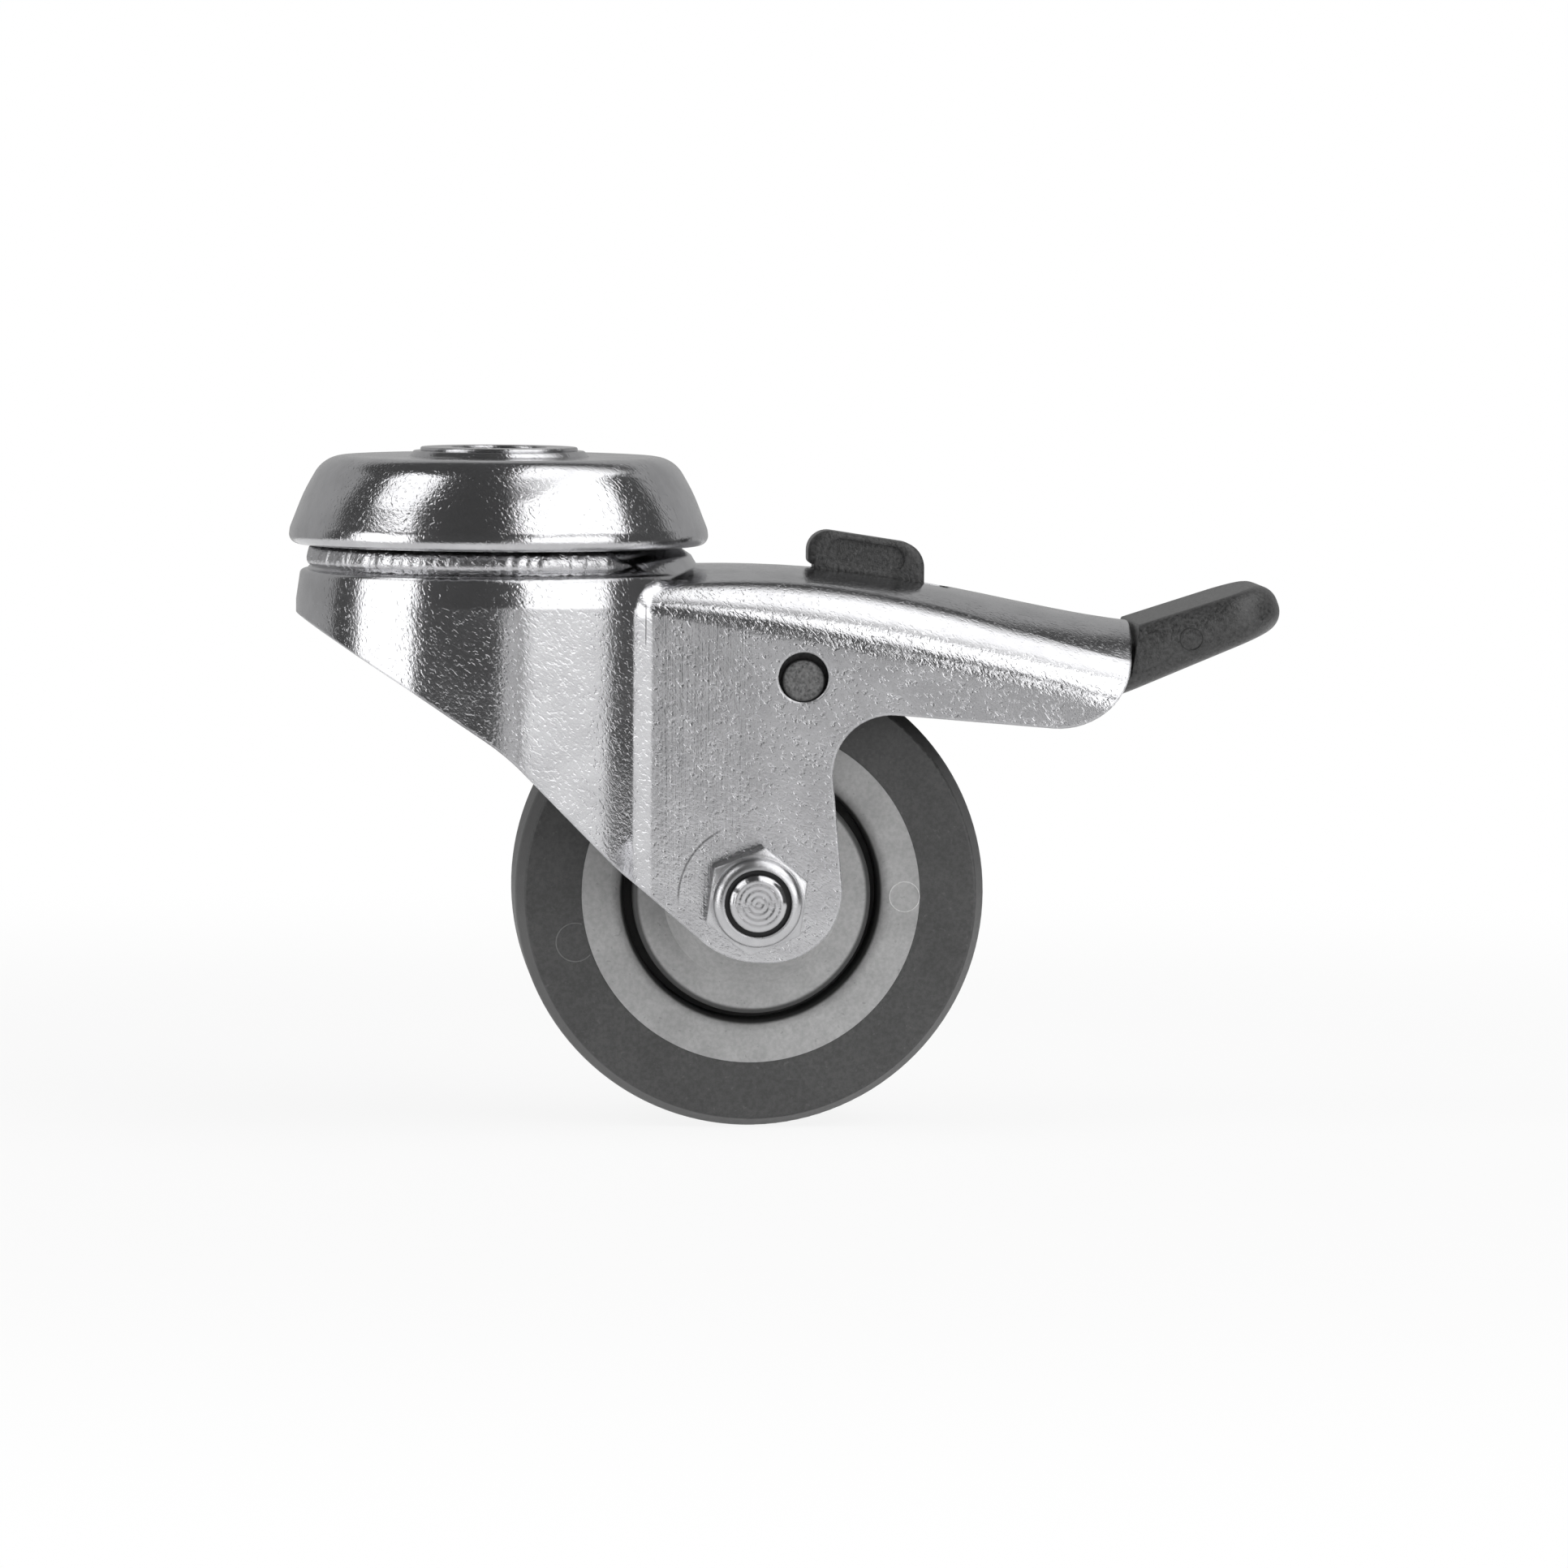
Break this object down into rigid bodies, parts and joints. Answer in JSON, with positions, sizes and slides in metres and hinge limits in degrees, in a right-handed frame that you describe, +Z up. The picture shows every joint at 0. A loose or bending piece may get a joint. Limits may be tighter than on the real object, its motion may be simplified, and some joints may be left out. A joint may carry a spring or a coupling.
{
  "type": "bolt hole swivel castor with brake",
  "caption": "Small swivel castor with a bolt hole in its ball-bearing head, a pressed steel fork, a grey rubber tyre on a plastic wheel, and a black foot brake lever.",
  "frame": {"origin": "on the swivel axis, at the top face of the hollow rivet's flange, where the castor meets what it is bolted to", "axes": "+Z up along the bolt hole, +X from the swivel axis towards the wheel and the brake pedal, Y along the axle with the lock nut on the -Y side"},
  "size_m": [0.1057, 0.0452, 0.0721],
  "materials": {
    "zinc_plated_steel": "bright zinc plating over a pressed sheet's fine grain",
    "bearing_steel": "ground and polished",
    "nylon": "plain moulded",
    "black_plastic": "satin moulded",
    "grey_plastic": "satin moulded",
    "grey_rubber": "matt moulded"
  },
  "bodies": {
    "head": {"hollow_rivet": "zinc_plated_steel", "top_cap": "zinc_plated_steel", "lower_race": "zinc_plated_steel"},
    "swivel_balls": {"upper_balls": "bearing_steel", "lower_balls": "bearing_steel"},
    "fork": {"fork": "zinc_plated_steel", "axle_bolt": "zinc_plated_steel", "axle_nut": "zinc_plated_steel", "nut_insert": "nylon", "axle_sleeve": "zinc_plated_steel", "thread_guard_near": "grey_plastic", "thread_guard_far": "grey_plastic", "bearing_inner_ring": "bearing_steel"},
    "wheel": {"wheel_rim": "grey_plastic", "tyre": "grey_rubber", "bearing_outer_ring": "bearing_steel", "bearing_shield_near": "bearing_steel", "bearing_shield_far": "bearing_steel"},
    "bearing_set": {"bearing_balls": "bearing_steel", "bearing_cage": "nylon"},
    "brake": {"brake_lever": "black_plastic"}
  },
  "joints": [
    {"name": "swivel", "type": "hinge", "parent": "head", "child": "fork", "pos_m": [0, 0, 0], "axis": [0, 0, 1], "continuous": true},
    {"name": "swivel_balls_turn", "type": "hinge", "parent": "head", "child": "swivel_balls", "pos_m": [0, 0, 0], "axis": [0, 0, 1], "continuous": true},
    {"name": "wheel_spin", "type": "hinge", "parent": "fork", "child": "wheel", "pos_m": [0.0267, 0, -0.0471], "axis": [0, 1, 0], "continuous": true},
    {"name": "bearing_set_turn", "type": "hinge", "parent": "fork", "child": "bearing_set", "pos_m": [0.0267, 0, -0.0471], "axis": [0, 1, 0], "continuous": true},
    {"name": "brake_press", "type": "hinge", "parent": "fork", "child": "brake", "pos_m": [0.0317, 0, -0.02405], "axis": [0, 1, 0], "range_deg": [0, 12]}
  ],
  "couplings": [
    {"joint": "swivel_balls_turn", "follows": "swivel", "ratio": 0.5},
    {"joint": "bearing_set_turn", "follows": "wheel_spin", "ratio": 0.6333}
  ]
}
